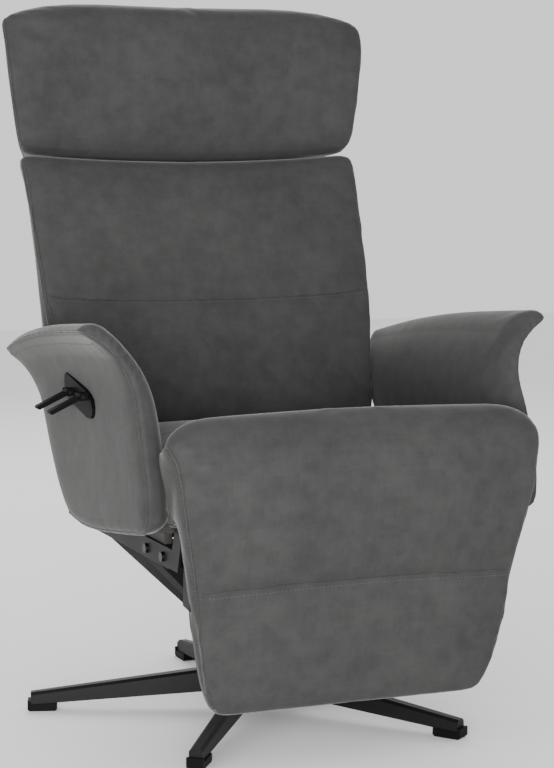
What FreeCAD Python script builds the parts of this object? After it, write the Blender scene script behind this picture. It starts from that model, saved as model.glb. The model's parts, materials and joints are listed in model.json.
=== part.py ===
import FreeCAD, Part
import math
import os
import re

import Sketcher

# Swivel recliner armchair on a five-legged star base.  Millimetres, +Z up, the sitter faces -Y.
# Origin: on the floor, on the swivel axis.  The chair's own right-hand side is at -X.
# Left and right pieces are mirror twins, so the loops below run over SIDES.

os.makedirs("parts", exist_ok=True)
DOC = FreeCAD.newDocument("recliner_armchair")
SIDES = (("right", -1), ("left", 1))
NODES = []

# --------------------------------------------------------------------------- driving dimensions

SIZES = {
    # star base
    "legs": 5,
    "hub_flat": 44, "hub_base": 22, "hub_height": 48, "hub_corner": 12,
    "leg_reach": 351, "leg_root_half": 13, "leg_tip_half": 10,
    "leg_root_low": 29, "leg_root_high": 66, "leg_tip_low": 10, "leg_tip_high": 28, "leg_bevel": 4,
    "glide_start": 311, "glide_end": 356, "glide_half": 12.5, "glide_height": 10,
    "column_radius": 22, "column_top": 128, "washer_radius": 36, "washer_height": 5,
    "cap_radius": 30, "cap_height": 5,
    # swivel head and the four struts
    "swivel_radius": 40, "swivel_low": 75.3, "swivel_top": 138, "running_gap": 0.05,
    "strut_depth": 30, "strut_width": 20, "strut_wall": 4,
    "strut_inner": 30, "strut_outer": 222, "strut_low": 106, "strut_high": 297,
    "strut_front_inner": -22, "strut_front_outer": -112,
    "strut_rear_inner": 18, "strut_rear_outer": 78,
    # steel mechanism frame
    "rail_inner": 211, "rail_outer": 237, "rail_low": 280, "rail_high": 312, "rail_wall": 4,
    "rail_front": -262, "rail_rear": 208,
    "cross_depth": 30, "cross_high": 295, "cross_front": -246, "cross_middle": -35, "cross_rear": 150,
    # seat
    "seat_half": 252, "seat_front": -284, "seat_rear": 98, "seat_low": 350, "seat_high": 488,
    "seat_rear_high": 432, "seat_edge": 24, "timber_low": 334, "timber_width": 27, "web_thickness": 3, "web_width": 50,
    # arms
    "arm_inner": 253, "arm_outer": 298, "wing_low": 532,
    "lip_front": 360, "lip_rear": 330, "crest_front": 625, "crest_rear": 560,
    "board_thickness": 15, "board_inset": 11, "bolt_head_radius": 7, "bolt_head": 4,
    # lever plate and levers
    "plate_centre": -60, "plate_middle": 506, "plate_half_length": 70, "plate_half_height": 19,
    "plate_thickness": 6, "plate_tilt": 10, "plate_drop": 4,
    "lever_rear_place": -30, "lever_front_place": -95,
    "lever_hub_radius": 6, "lever_hub_length": 16, "lever_reach": 48, "lever_droop": 24,
    "lever_thin": 3.5, "lever_rounding": 1.2,
    "lever_pin_radius": 2, "ear_width": 4, "ear_half": 5, "ear_gap": 0.4,
    # back, drawn upright in its own frame and then leaned
    "back_lean": 22.2, "back_foot": 128, "back_foot_high": 470,
    "back_pivot": 190, "back_pivot_high": 400,
    "back_low_half": 252, "back_mid_half": 279, "back_top_half": 290,
    "back_low_end": 130, "back_wide_start": 150, "back_length": 408,
    "back_pad": 60, "back_board": 12, "back_gap": 4, "back_shell": 40, "back_board_half": 232,
    "board_margin": 40, "shell_margin": 22, "shell_edge": 20,
    # head rest and its hinges
    "head_front": 294, "head_pad": 62, "head_shell": 33,
    "head_low": 866, "head_shell_low": 828, "head_high": 1094, "head_low_half": 292, "head_top_half": 311,
    "neck_depth": 8, "neck_offset": 120, "leaf_half": 20, "leaf_steel": 3,
    "knuckle_half": 7.7, "knuckle_radius": 6, "neck_pin_radius": 2.5,
    # leg rest
    "rest_pivot": -345, "rest_pivot_high": 425, "roll_radius": 58, "roll_half": 231.5,
    "rest_foot": -361, "rest_lean": 7.25, "rest_low": 92, "rest_length": 340, "rest_middle": 150,
    "rest_pad": 33, "rest_board": 12, "rest_top_half": 262, "rest_mid_half": 239, "rest_low_half": 206,
    # hinges
    "plate_steel": 4, "hinge_gap": 0.5, "hinge_radius": 13, "pin_radius": 5, "tube_radius": 11,
    "ratchet_radius": 16, "ratchet_width": 8,
    # gas spring: its end eye is oversize, where the closed linkage is opened
    "spring_offset": 60, "spring_radius": 9, "rod_radius": 4, "eye_radius": 9, "eye_width": 12,
    "spring_pin_radius": 4, "cheek_steel": 3, "open_eye_radius": 13, "open_eye_hole": 9.5,
    "back_spring_root": -20, "back_spring_root_high": 305,
    "back_spring_end": 210, "back_spring_end_high": 315, "back_spring_tube": 125, "back_rod_start": 75,
}

SHEET = DOC.addObject("Spreadsheet::Sheet", "sizes")
for row, (alias, number) in enumerate(SIZES.items(), start=1):
    SHEET.set("A%d" % row, alias)
    SHEET.set("B%d" % row, str(number))
    SHEET.setAlias("B%d" % row, alias)
DOC.recompute()


def size(alias):
    """The number that the sheet holds for an alias."""
    return float(SHEET.get(alias))


def formula(text):
    """Turn plain aliases in a formula into references to the sheet."""
    def refer(match):
        word = match.group(0)
        return "sizes." + word if word in SIZES else word
    return re.sub(r"[a-z][a-z0-9_]*", refer, str(text))


def worked(text):
    """The value of a formula of aliases, + - * / and brackets."""
    holder = SHEET.evalExpression(formula(text))
    return float(getattr(holder, "Value", holder))


def bind(thing, prop, text):
    """Bind one property of an object to a formula."""
    thing.setExpression(prop, formula(text))


def node(thing, name):
    """Name an object as a finished sub-part."""
    thing.Label = name
    NODES.append(thing)
    return thing


# --------------------------------------------------------------------------- building helpers


def place(thing, where=(0, 0, 0), axis=None, angle=0):
    """Bind an object's placement: a point of formulas and a turn about a fixed axis."""
    if axis is not None:
        turn = FreeCAD.Rotation(FreeCAD.Vector(*axis), 1.0)
        thing.Placement = FreeCAD.Placement(FreeCAD.Vector(), turn)
        bind(thing, "Placement.Rotation.Angle", angle)
    for letter, text in zip("xyz", where):
        bind(thing, "Placement.Base." + letter, text)
    return thing


def block(name, low, high):
    """A Part::Box between two corners given as formulas."""
    box = DOC.addObject("Part::Box", name)
    for prop, near, far in zip(("Length", "Width", "Height"), low, high):
        bind(box, prop, "(%s) - (%s)" % (far, near))
    return place(box, low)


def mirrored_block(name, side, inner, outer, low, high):
    """A box on one side: inner and outer are distances from the middle, low and high are (y, z)."""
    near, far = (inner, outer) if side > 0 else ("-(%s)" % outer, "-(%s)" % inner)
    return block(name, (near,) + tuple(low), (far,) + tuple(high))


ROUND_TURNS = {"x": ((0, 1, 0), 90), "y": ((1, 0, 0), -90), "z": (None, 0)}


def rod(name, radius, length, where, along="z"):
    """A Part::Cylinder that starts at a point and runs along +x, +y or +z."""
    bar = DOC.addObject("Part::Cylinder", name)
    bind(bar, "Radius", radius)
    bind(bar, "Height", length)
    axis, angle = ROUND_TURNS[along]
    return place(bar, where, axis, angle)


def cut(name, base, tool):
    result = DOC.addObject("Part::Cut", name)
    result.Base = base
    result.Tool = tool
    return result


def joined(name, pieces):
    """Several shapes as one object: one solid where they touch, separate solids where not."""
    result = DOC.addObject("Part::MultiFuse", name)
    result.Shapes = pieces
    return result


def origin_plane(body, role):
    return [item for item in body.Origin.OriginFeatures if item.Role == role][0]


def outline_sketch(body, name, role, points, offset="0"):
    """A closed sketch on an origin plane, every corner held by two bound distances."""
    sketch = body.newObject("Sketcher::SketchObject", name)
    sketch.AttachmentSupport = [(origin_plane(body, role), "")]
    sketch.MapMode = "FlatFace"
    bind(sketch, "AttachmentOffset.Base.z", offset)
    places = [(worked(across), worked(up)) for across, up in points]
    corners = [FreeCAD.Vector(across, up, 0) for across, up in places]
    count = len(corners)
    for index in range(count):
        sketch.addGeometry(Part.LineSegment(corners[index], corners[(index + 1) % count]), False)
    for index in range(count):
        sketch.addConstraint(Sketcher.Constraint("Coincident", index, 2, (index + 1) % count, 1))
    for index, ((across, up), (x, y)) in enumerate(zip(points, places)):
        for kind, text, value in (("DistanceX", across, x), ("DistanceY", up, y)):
            which = sketch.addConstraint(Sketcher.Constraint(kind, -1, 1, index, 1, value))
            bind(sketch, "Constraints[%d]" % which, text)
    return sketch


def body_named(name):
    return DOC.addObject("PartDesign::Body", name)


def prism(name, role, points, start, depth):
    """A body padded from an outline; start is measured along the plane's own normal."""
    body = body_named(name)
    sketch = outline_sketch(body, name + "_outline", role, points, start)
    pad = body.newObject("PartDesign::Pad", name + "_pad")
    pad.Profile = sketch
    bind(pad, "Length", depth)
    DOC.recompute()
    return body


def side_prism(name, side, points, inner, outer):
    """A body whose (y, z) outline is padded between two distances from the middle, on one side."""
    start = inner if side > 0 else "-(%s)" % outer
    return prism(name, "YZ_Plane", points, start, "(%s) - (%s)" % (outer, inner))


def front_prism(name, points, near, far):
    """A body whose (x, z) outline is padded from y = near to y = far, near being the smaller."""
    return prism(name, "XZ_Plane", points, "-(%s)" % far, "(%s) - (%s)" % (far, near))


def rounded(body, radius, wanted):
    """Round the edges that the test picks."""
    picked = ["Edge%d" % (number + 1) for number, edge in enumerate(body.Shape.Edges) if wanted(edge)]
    last_feature = body.Tip
    fillet = body.newObject("PartDesign::Fillet", body.Name + "_rounding")
    fillet.Base = (last_feature, picked)
    bind(fillet, "Radius", radius)
    DOC.recompute()
    return body


def runs_along(edge, letter, bound=0.99):
    """True for a straight edge that runs along one axis."""
    if edge.Curve.TypeId != "Part::GeomLine":
        return False
    return abs(getattr(edge.tangentAt(edge.FirstParameter), letter)) > bound


def both_sides(points):
    """A left half-outline of (x, z) formulas, closed with its mirror image."""
    return [("-(%s)" % across, up) for across, up in points] + list(reversed(points))


# --------------------------------------------------------------------------- star base


def make_hub():
    """Pentagonal casting: each leg butts against one of its five flats."""
    corners = []
    for number in range(5):
        angle = math.radians(90 + 36 + 72 * number)
        reach = "hub_flat / %.6f" % math.cos(math.radians(36))
        corners.append(("%s * %.6f" % (reach, math.cos(angle)), "%s * %.6f" % (reach, math.sin(angle))))
    hub = prism("hub_block", "XY_Plane", corners, "hub_base", "hub_height")
    rounded(hub, "hub_corner", lambda edge: runs_along(edge, "z"))
    bore = rod("hub_bore", "column_radius", "hub_height + 2", ("0", "0", "hub_base - 1"))
    node(cut("hub_cut", hub, bore), "hub")


def leg_section(half, low, high):
    """Section of a leg: upright sides, bevelled top edges."""
    return [("-" + half, low), (half, low), (half, high + " - leg_bevel"),
            (half + " - leg_bevel", high), ("leg_bevel - " + half, high), ("-" + half, high + " - leg_bevel")]


def make_legs():
    """Five tapered legs that butt on the hub's flats, each with a plastic glide under its tip."""
    glides = []
    for number in range(5):
        turn = "90 + 360 / legs * %d" % number
        leg = body_named("leg_%d" % (number + 1))
        root = outline_sketch(leg, "root", "YZ_Plane",
                              leg_section("leg_root_half", "leg_root_low", "leg_root_high"), "hub_flat")
        tip = outline_sketch(leg, "tip", "YZ_Plane",
                             leg_section("leg_tip_half", "leg_tip_low", "leg_tip_high"), "leg_reach")
        loft = leg.newObject("PartDesign::AdditiveLoft", "taper")
        loft.Profile = root
        loft.Sections = [tip]
        loft.Ruled = True
        DOC.recompute()
        node(place(leg, ("0", "0", "0"), (0, 0, 1), turn), "leg_%d" % (number + 1))

        slope = "leg_tip_low + (leg_root_low - leg_tip_low) * (leg_reach - glide_start)"
        wedge = slope + " / (leg_reach - hub_flat)"
        profile = [("glide_start + 3", "0"), ("glide_end - 3", "0"), ("glide_end", "3"),
                   ("glide_end", "glide_height + 6"), ("leg_reach", "glide_height + 6"),
                   ("leg_reach", "leg_tip_low"), ("glide_start", wedge), ("glide_start", "3")]
        glide = prism("glide_%d" % (number + 1), "XZ_Plane", profile, "-glide_half", "glide_half * 2")
        glides.append(place(glide, ("0", "0", "0"), (0, 0, 1), turn))
    node(joined("glide_group", glides), "glides")


def make_column():
    node(rod("column_post", "column_radius", "column_top - hub_base", ("0", "0", "hub_base")), "column")
    ring = rod("washer_outer", "washer_radius", "washer_height", ("0", "0", "hub_base + hub_height"))
    hole = rod("washer_hole", "column_radius", "washer_height + 2", ("0", "0", "hub_base + hub_height - 1"))
    node(cut("washer_cut", ring, hole), "thrust_washer")
    node(rod("hub_cap_disc", "cap_radius", "cap_height", ("0", "0", "hub_base - cap_height")), "hub_cap")


# --------------------------------------------------------------------------- carrier: head, struts, rails


def make_swivel_head():
    """Cap that turns on the column; its bore is a running fit and closed at the top."""
    shell = rod("swivel_shell", "swivel_radius", "swivel_top - swivel_low", ("0", "0", "swivel_low"))
    bore = rod("swivel_bore", "column_radius + running_gap", "column_top + running_gap - swivel_low + 1",
               ("0", "0", "swivel_low - 1"))
    node(cut("swivel_cut", shell, bore), "swivel_head")


def make_struts():
    """Channel bars from the swivel head up to the rails, ends trimmed to what they are welded to."""
    channel = [("-strut_width / 2", "-strut_depth / 2"), ("strut_width / 2", "-strut_depth / 2"),
               ("strut_width / 2", "strut_depth / 2"), ("-strut_width / 2", "strut_depth / 2"),
               ("-strut_width / 2", "strut_depth / 2 - strut_wall"),
               ("strut_width / 2 - strut_wall", "strut_depth / 2 - strut_wall"),
               ("strut_width / 2 - strut_wall", "strut_wall - strut_depth / 2"),
               ("-strut_width / 2", "strut_wall - strut_depth / 2")]
    for end in ("front", "rear"):
        for side_name, side in SIDES:
            name = "strut_%s_%s" % (end, side_name)
            start = FreeCAD.Vector(side * size("strut_inner"), size("strut_%s_inner" % end), size("strut_low"))
            stop = FreeCAD.Vector(side * size("strut_outer"), size("strut_%s_outer" % end), size("strut_high"))
            run = stop.sub(start)
            bar = prism(name + "_bar", "XY_Plane", channel, "0", "%.4f" % run.Length)
            level = FreeCAD.Vector(-run.y, run.x, 0)
            upward = run.cross(level)
            bar.Placement = FreeCAD.Placement(start, FreeCAD.Rotation(level, upward, run, "ZXY"))
            clear_rail = mirrored_block(name + "_rail_space", side, "rail_inner - 60", "rail_outer + 60",
                                        ("-400", "rail_low"), ("400", "rail_high + 60"))
            clear_head = rod(name + "_head_space", "swivel_radius", "200", ("0", "0", "0"))
            trimmed = cut(name + "_upper_trim", bar, clear_rail)
            node(cut(name + "_cut", trimmed, clear_head), name)


def make_rails():
    """Box-section side rails, three cross rails between them."""
    for side_name, side in SIDES:
        name = "side_rail_" + side_name
        outer = mirrored_block(name + "_outer", side, "rail_inner", "rail_outer",
                               ("rail_front", "rail_low"), ("rail_rear", "rail_high"))
        inner = mirrored_block(name + "_hollow", side, "rail_inner + rail_wall", "rail_outer - rail_wall",
                               ("rail_front - 1", "rail_low + rail_wall"),
                               ("rail_rear + 1", "rail_high - rail_wall"))
        node(cut(name + "_cut", outer, inner), name)
    for place_name in ("front", "middle", "rear"):
        near = "cross_" + place_name
        node(block(near + "_box", ("-rail_inner", near, "rail_low"),
                   ("rail_inner", near + " + cross_depth", "cross_high")), "cross_rail_" + place_name)


# --------------------------------------------------------------------------- seat


def make_seat():
    """Timber frame on the rails, rubber webbing let into it, one foam cushion on top."""
    inner = "seat_half - timber_width"
    timbers = []
    spacers = []
    for side_name, side in SIDES:
        timbers.append(mirrored_block("timber_" + side_name, side, inner, "seat_half",
                                      ("seat_front", "timber_low"), ("seat_rear", "seat_low")))
        spacers.append(mirrored_block("spacer_" + side_name, side, inner, "rail_outer",
                                      ("seat_front + 40", "rail_high"), ("seat_rear", "timber_low")))
    node(joined("timber_sides", timbers), "seat_timber_sides")
    node(joined("spacer_pair", spacers), "frame_spacers")
    for end, near in (("front", "seat_front"), ("rear", "seat_rear - timber_width")):
        node(block("timber_" + end, ("-(%s)" % inner, near, "timber_low"),
                   (inner, near + " + timber_width", "seat_low - web_thickness")), "seat_timber_" + end)
    straps = []
    for number in range(5):
        middle = "(%d - 2) * (web_width + 30)" % number
        straps.append(block("strap_%d" % number,
                            ("%s - web_width / 2" % middle, "seat_front", "seat_low - web_thickness"),
                            ("%s + web_width / 2" % middle, "seat_rear", "seat_low")))
    node(joined("strap_group", straps), "seat_webbing")
    profile = [("seat_front", "seat_low"), ("seat_rear", "seat_low"),
               ("seat_rear", "seat_rear_high"), ("seat_front", "seat_high")]
    cushion = prism("cushion_block", "YZ_Plane", profile, "-seat_half", "seat_half * 2")
    low = size("seat_low")
    rounded(cushion, "seat_edge", lambda edge: runs_along(edge, "y", 0.9) and edge.CenterOfMass.z > low + 1)
    node(cushion, "seat_cushion")


# --------------------------------------------------------------------------- arms

ARM_OUTLINE = [("-338", "350"), ("-283", "335"), ("-105", "312"), ("4", "314"), ("34", "325"),
               ("86", "364"), ("140", "437"), ("190", "486"), ("240", "wing_low"),
               ("-300", "wing_low"), ("-321", "480"), ("-352", "396"), ("-349", "366")]
BOARD_OUTLINE = [("-298", "376"), ("-258", "362"), ("-100", "342"), ("-8", "342"),
                 ("46", "384"), ("88", "446"), ("112", "472"), ("-272", "472"), ("-304", "396")]
# Flare of an arm's top, as shares of its reach outwards and of its height.
WING_OUTSIDE = [(0, 0), (0.08, 0.27), (0.19, 0.42), (0.435, 0.61), (0.9, 0.79), (1, 0.89)]
WING_INSIDE = [(0.97, 0.98), (0.86, 1), (0.69, 0.88), (0.52, 0.71), (0.36, 0.53), (0.24, 0.29),
               (0.14, 0.09), (0, 0)]
# Stations of the flare: place along Y, reach of the lip, height of the crest.
WING_STATIONS = [("-300", "lip_front - 26", "crest_front - 34"), ("-268", "lip_front", "crest_front"),
                 ("-134", "lip_front - 8", "crest_front - 10"), ("36", "lip_front - 17", "crest_front - 26"),
                 ("130", "lip_rear + 6", "crest_rear + 20"), ("230", "lip_rear", "crest_rear")]


def wing_section(side, lip, crest):
    """Section of the flared arm top: up from the panel and out to a rounded lip."""
    points = []
    for base, shares in (("arm_outer", WING_OUTSIDE), ("arm_inner", WING_INSIDE)):
        for across, up in shares:
            points.append(("%s + (%s - %s) * %s" % (base, lip, base, across),
                           "wing_low + (%s - wing_low) * %s" % (crest, up)))
    if side < 0:
        points = [("-(%s)" % across, up) for across, up in points]
    return points


def make_arms():
    """Each arm: a plywood board sealed inside one upholstered panel that flares outwards at the top."""
    for side_name, side in SIDES:
        panel = side_prism("arm_panel_" + side_name, side, ARM_OUTLINE, "arm_inner", "arm_outer")
        board = side_prism("arm_ply_" + side_name, side, BOARD_OUTLINE,
                           "arm_inner + board_inset", "arm_inner + board_inset + board_thickness")
        wing = body_named("arm_wing_" + side_name)
        sections = []
        for number, (station, lip, crest) in enumerate(WING_STATIONS):
            sections.append(outline_sketch(wing, "station_%d" % number, "XZ_Plane",
                                           wing_section(side, lip, crest), "-(%s)" % station))
        loft = wing.newObject("PartDesign::AdditiveLoft", "flare")
        loft.Profile = sections[0]
        loft.Sections = sections[1:]
        loft.Ruled = True
        DOC.recompute()
        whole = joined("arm_whole_" + side_name, [panel, wing])
        node(cut("arm_hollowed_" + side_name, whole, board), "arm_pad_" + side_name)
        node(board, "arm_board_" + side_name)


# --------------------------------------------------------------------------- levers


# Outline of the lever plate, as shares of its half length and half height.
PLATE_SHAPE = [(-1, 0.2), (-1, -0.3), (-0.92, -0.7), (-0.72, -1), (0.6, -1), (0.84, -0.8), (0.97, -0.4),
               (1, 0.1), (0.92, 0.6), (0.74, 0.9), (0.5, 1), (-0.84, 1), (-0.96, 0.7)]


def make_levers():
    """Plate on the right arm's outer face, with two lift levers on short pins between ears."""
    face = "-(arm_outer + plate_thickness)"
    hub_line = "-(arm_outer + plate_thickness + lever_hub_radius + ear_gap)"
    outline = []
    for forward, up in PLATE_SHAPE:
        ahead, above = "plate_half_length * %s" % forward, "plate_half_height * %s" % up
        outline.append(("plate_centre - %s * cos(plate_tilt) + %s * sin(plate_tilt)" % (ahead, above),
                        "plate_middle - plate_drop - %s * sin(plate_tilt) + %s * cos(plate_tilt)" % (ahead, above)))
    pieces = [side_prism("plate_slab", -1, outline, "arm_outer", "arm_outer + plate_thickness")]
    pins = []
    for name, station in (("lever_back", "lever_rear_place"), ("lever_foot", "lever_front_place")):
        start = station + " - lever_hub_length / 2"
        for end, near in (("front", start + " - ear_gap - ear_width"),
                          ("rear", station + " + lever_hub_length / 2 + ear_gap")):
            pieces.append(block(name + "_ear_" + end, (hub_line + " - ear_half", near, "plate_middle - ear_half"),
                                ("-(arm_outer + 1)", near + " + ear_width", "plate_middle + ear_half")))
        pins.append(rod(name + "_pin", "lever_pin_radius", "lever_hub_length + 2 * (ear_gap + ear_width)",
                        (hub_line, start + " - ear_gap - ear_width", "plate_middle"), "y"))
        hub = rod(name + "_hub", "lever_hub_radius", "lever_hub_length",
                  (hub_line, start, "plate_middle"), "y")
        bore = rod(name + "_bore", "lever_pin_radius + running_gap", "lever_hub_length + 2",
                   (hub_line, start + " - 1", "plate_middle"), "y")
        tip = hub_line + " - lever_reach"
        profile = [(hub_line, "plate_middle + lever_thin"), (hub_line, "plate_middle - lever_thin"),
                   (tip + " + lever_thin", "plate_middle - lever_droop"),
                   (tip, "plate_middle - lever_droop + lever_thin / 2"),
                   (tip, "plate_middle - lever_droop + lever_thin * 1.5")]
        paddle = front_prism(name + "_paddle", profile, start + " + 1", start + " + lever_hub_length - 1")
        rounded(paddle, "lever_rounding", lambda edge: runs_along(edge, "y"))
        node(cut(name + "_cut", joined(name + "_whole", [hub, paddle]), bore), name)
    pin_pair = node(joined("lever_pin_pair", pins), "lever_pins")
    node(cut("plate_cut", joined("plate_whole", pieces), pin_pair), "lever_plate")


# --------------------------------------------------------------------------- hinge plates and springs


def plate_with_eye(name, side, outline, pivot, inner, hole_radius):
    """A steel plate standing beside a rail: a (y, z) outline and a round eye bored for a pin."""
    outer = inner + " + plate_steel"
    plate = side_prism(name + "_strip", side, outline, inner, outer)
    start = inner if side > 0 else "-(%s)" % outer
    eye = rod(name + "_eye", "hinge_radius", "plate_steel", (start,) + pivot, "x")
    hole = rod(name + "_hole", hole_radius, "plate_steel + 2", (start + " - 1",) + pivot, "x")
    return cut(name + "_cut", joined(name + "_whole", [plate, eye]), hole)


def hinge_pair(fixed_name, fixed_outline, moving_name, moving_outline, pin_name, pivot):
    """Fixed plates on the rails, moving plates inside them, and a pin through each pair."""
    fixed = []
    moving = []
    pins = []
    for side_name, side in SIDES:
        fixed.append(plate_with_eye(fixed_name + "_" + side_name, side, fixed_outline, pivot,
                                    "rail_outer", "pin_radius"))
        moving.append(plate_with_eye(moving_name + "_" + side_name, side, moving_outline, pivot,
                                     "roll_half + 1", "pin_radius + running_gap"))
        start = "roll_half - 5" if side > 0 else "-(rail_outer + plate_steel + 3)"
        pins.append(rod(pin_name + "_" + side_name, "pin_radius", "rail_outer + plate_steel - roll_half + 8",
                        (start,) + pivot, "x"))
    node(joined(fixed_name + "_pair", fixed), fixed_name + "s")
    node(joined(moving_name + "_pair", moving), moving_name + "s")
    return node(joined(pin_name + "_pair", pins), pin_name + "s")


def cheeks(name, centre, roots, pivot):
    """Two plates either side of a spring's eye, narrowing from their roots to a pin across them."""
    eye_y, eye_z = pivot
    outline = roots + [(eye_y + " + eye_radius - 2", eye_z), (eye_y + " - eye_radius + 2", eye_z)]
    inner_gap = "(eye_width / 2 + hinge_gap)"
    pieces = []
    for end, start in (("low", "%s - %s - cheek_steel" % (centre, inner_gap)),
                       ("high", "%s + %s" % (centre, inner_gap))):
        pieces.append(prism(name + "_cheek_" + end, "YZ_Plane", outline, start, "cheek_steel"))
        pieces.append(rod(name + "_boss_" + end, "eye_radius - 2", "cheek_steel", (start, eye_y, eye_z), "x"))
    pieces.append(rod(name + "_cross_pin", "spring_pin_radius", "2 * (%s + cheek_steel)" % inner_gap,
                      ("%s - %s - cheek_steel" % (centre, inner_gap), eye_y, eye_z), "x"))
    return joined(name + "_whole", pieces)


def gas_spring(name, centre, root, end, tube_length, rod_start):
    """A pressure tube and its rod, drawn along +Z from the root eye and then laid on its line."""
    across = worked(end[0]) - worked(root[0])
    up = worked(end[1]) - worked(root[1])
    turn = math.degrees(math.atan2(-across, up))
    length = math.hypot(across, up)

    def eye(kind, outer, hole, height):
        ring = rod(name + kind + "_ring", outer, "eye_width", ("-eye_width / 2", "0", height), "x")
        bore = rod(name + kind + "_bore", hole, "eye_width + 2", ("-eye_width / 2 - 1", "0", height), "x")
        return ring, bore

    ring, bore = eye("_root", "eye_radius", "spring_pin_radius + running_gap", "0")
    barrel = rod(name + "_barrel", "spring_radius", "%s - eye_radius + 1" % tube_length,
                 ("0", "0", "eye_radius - 1"))
    inside = rod(name + "_inside", "rod_radius + running_gap", tube_length, ("0", "0", "12"))
    hollow = joined(name + "_hollows", [bore, inside])
    tube = cut(name + "_tube_cut", joined(name + "_tube_whole", [ring, barrel]), hollow)
    node(place(tube, (centre,) + root, (1, 0, 0), "%.6f" % turn), name + "_tube")

    ring, bore = eye("_end", "open_eye_radius", "open_eye_hole", "%.6f" % length)
    bar = rod(name + "_bar", "rod_radius", "%.6f - open_eye_hole - 1 - (%s)" % (length, rod_start),
              ("0", "0", rod_start))
    piston = cut(name + "_rod_cut", joined(name + "_rod_whole", [ring, bar]), bore)
    node(place(piston, (centre,) + root, (1, 0, 0), "%.6f" % turn), name + "_rod")


def make_spring():
    """The gas spring that holds the back, and its mount on the middle cross rail."""
    back_root = ("back_spring_root", "back_spring_root_high")
    gas_spring("back_spring", "spring_offset", back_root, ("back_spring_end", "back_spring_end_high"),
               "back_spring_tube", "back_rod_start")
    mount_end = "back_spring_root + eye_radius - 2"
    node(cheeks("back_spring_mount", "spring_offset",
                [("cross_middle", "cross_high"), (mount_end, "cross_high")], back_root), "spring_mount")


# --------------------------------------------------------------------------- back


def lean(thing):
    """Stand a piece drawn in the back's own frame (x, depth, height) on the leaning back."""
    return place(thing, ("0", "back_foot", "back_foot_high"), (1, 0, 0), "-back_lean")


def in_back(depth, height):
    """Formulas for the (y, z) of a point given in the back's own frame."""
    return ("back_foot + (%s) * cos(back_lean) + (%s) * sin(back_lean)" % (depth, height),
            "back_foot_high - (%s) * sin(back_lean) + (%s) * cos(back_lean)" % (depth, height))


def back_layer(name, near, far, half_widths, high):
    """One layer of the back: narrow between the arms, wide above them."""
    low_half, mid_half, top_half = half_widths
    outline = both_sides([(low_half, "0"), (low_half, "back_low_end"), (mid_half, "back_wide_start"),
                          (top_half, high)])
    return front_prism(name, outline, near, far)


def make_back():
    shell_near = "back_pad + back_board + back_gap"
    shell_far = shell_near + " + back_shell"
    pad = back_layer("back_pad_block", "0", "back_pad",
                     ("back_low_half", "back_mid_half", "back_top_half"), "back_length")
    node(lean(pad), "back_cushion")
    board = back_layer("back_board_block", "back_pad", "back_pad + back_board",
                       ("back_board_half", "back_mid_half - board_margin", "back_top_half - board_margin"),
                       "back_length - board_margin")
    node(lean(board), "back_board")
    shell = back_layer("back_shell_block", shell_near, shell_far,
                       ("roll_half - 2", "back_mid_half - shell_margin", "back_top_half - shell_margin"),
                       "back_length - 12")
    rear = size("back_pad") + size("back_board") + size("back_gap") + size("back_shell")
    rounded(shell, "shell_edge", lambda edge: runs_along(edge, "z", 0.9) and edge.CenterOfMass.y > rear - 1)
    node(lean(shell), "back_shell")


def make_back_hinge():
    pivot = ("back_pivot", "back_pivot_high")
    post = [("back_pivot - 60", "rail_low + 4"), ("rail_rear", "rail_low + 4"), ("rail_rear", "rail_high"),
            ("back_pivot + hinge_radius", "back_pivot_high"),
            ("back_pivot - hinge_radius", "back_pivot_high"), ("back_pivot - 18", "rail_high")]
    arm = [in_back("back_pad + 0.5", "4"), in_back("back_pad + 0.5", "back_low_end - 6"),
           in_back("back_pad + back_board + 8", "back_low_end - 6"),
           in_back("back_pad + back_board + 10", "4"),
           ("back_pivot + hinge_radius", "back_pivot_high"),
           ("back_pivot - hinge_radius", "back_pivot_high")]
    hinge_pair("back_bracket", post, "back_arm", arm, "back_pin", pivot)
    tube = rod("torque_outer", "tube_radius", "2 * roll_half + 2", ("-(roll_half + 1)",) + pivot, "x")
    bore = rod("torque_bore", "pin_radius + running_gap", "2 * roll_half + 4",
               ("-(roll_half + 2)",) + pivot, "x")
    node(cut("torque_cut", tube, bore), "back_torque_tube")
    crank = cheeks("back_crank", "spring_offset",
                   [("back_pivot - 9", "back_pivot_high - 8"), ("back_pivot + 9", "back_pivot_high - 8")],
                   ("back_spring_end", "back_spring_end_high"))
    space = rod("crank_tube_space", "tube_radius", "2 * roll_half", ("-roll_half",) + pivot, "x")
    node(cut("crank_cut", crank, space), "back_crank")


# --------------------------------------------------------------------------- head rest

HEAD_TOP = [("head_top_half", "head_high - 38"), ("head_top_half - 16", "head_high - 17"),
            ("head_top_half - 72", "head_high - 5"), ("head_top_half * 0.45", "head_high")]


def head_layer(name, near, far, inset, low):
    outline = [("head_low_half - " + inset, low)]
    outline += [("%s - %s" % (across, inset), "%s - %s" % (up, inset)) for across, up in HEAD_TOP]
    return front_prism(name, both_sides(outline), near, far)


def make_head():
    board_near = "head_front + head_pad"
    shell_near = board_near + " + back_board + back_gap"
    node(head_layer("head_pad_block", "head_front", board_near, "0", "head_low"), "head_cushion")
    node(head_layer("head_board_block", board_near, board_near + " + back_board", "board_margin", "head_low"),
         "head_board")
    node(head_layer("head_shell_block", shell_near, shell_near + " + head_shell", "shell_margin", "head_shell_low"),
         "head_shell")


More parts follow.
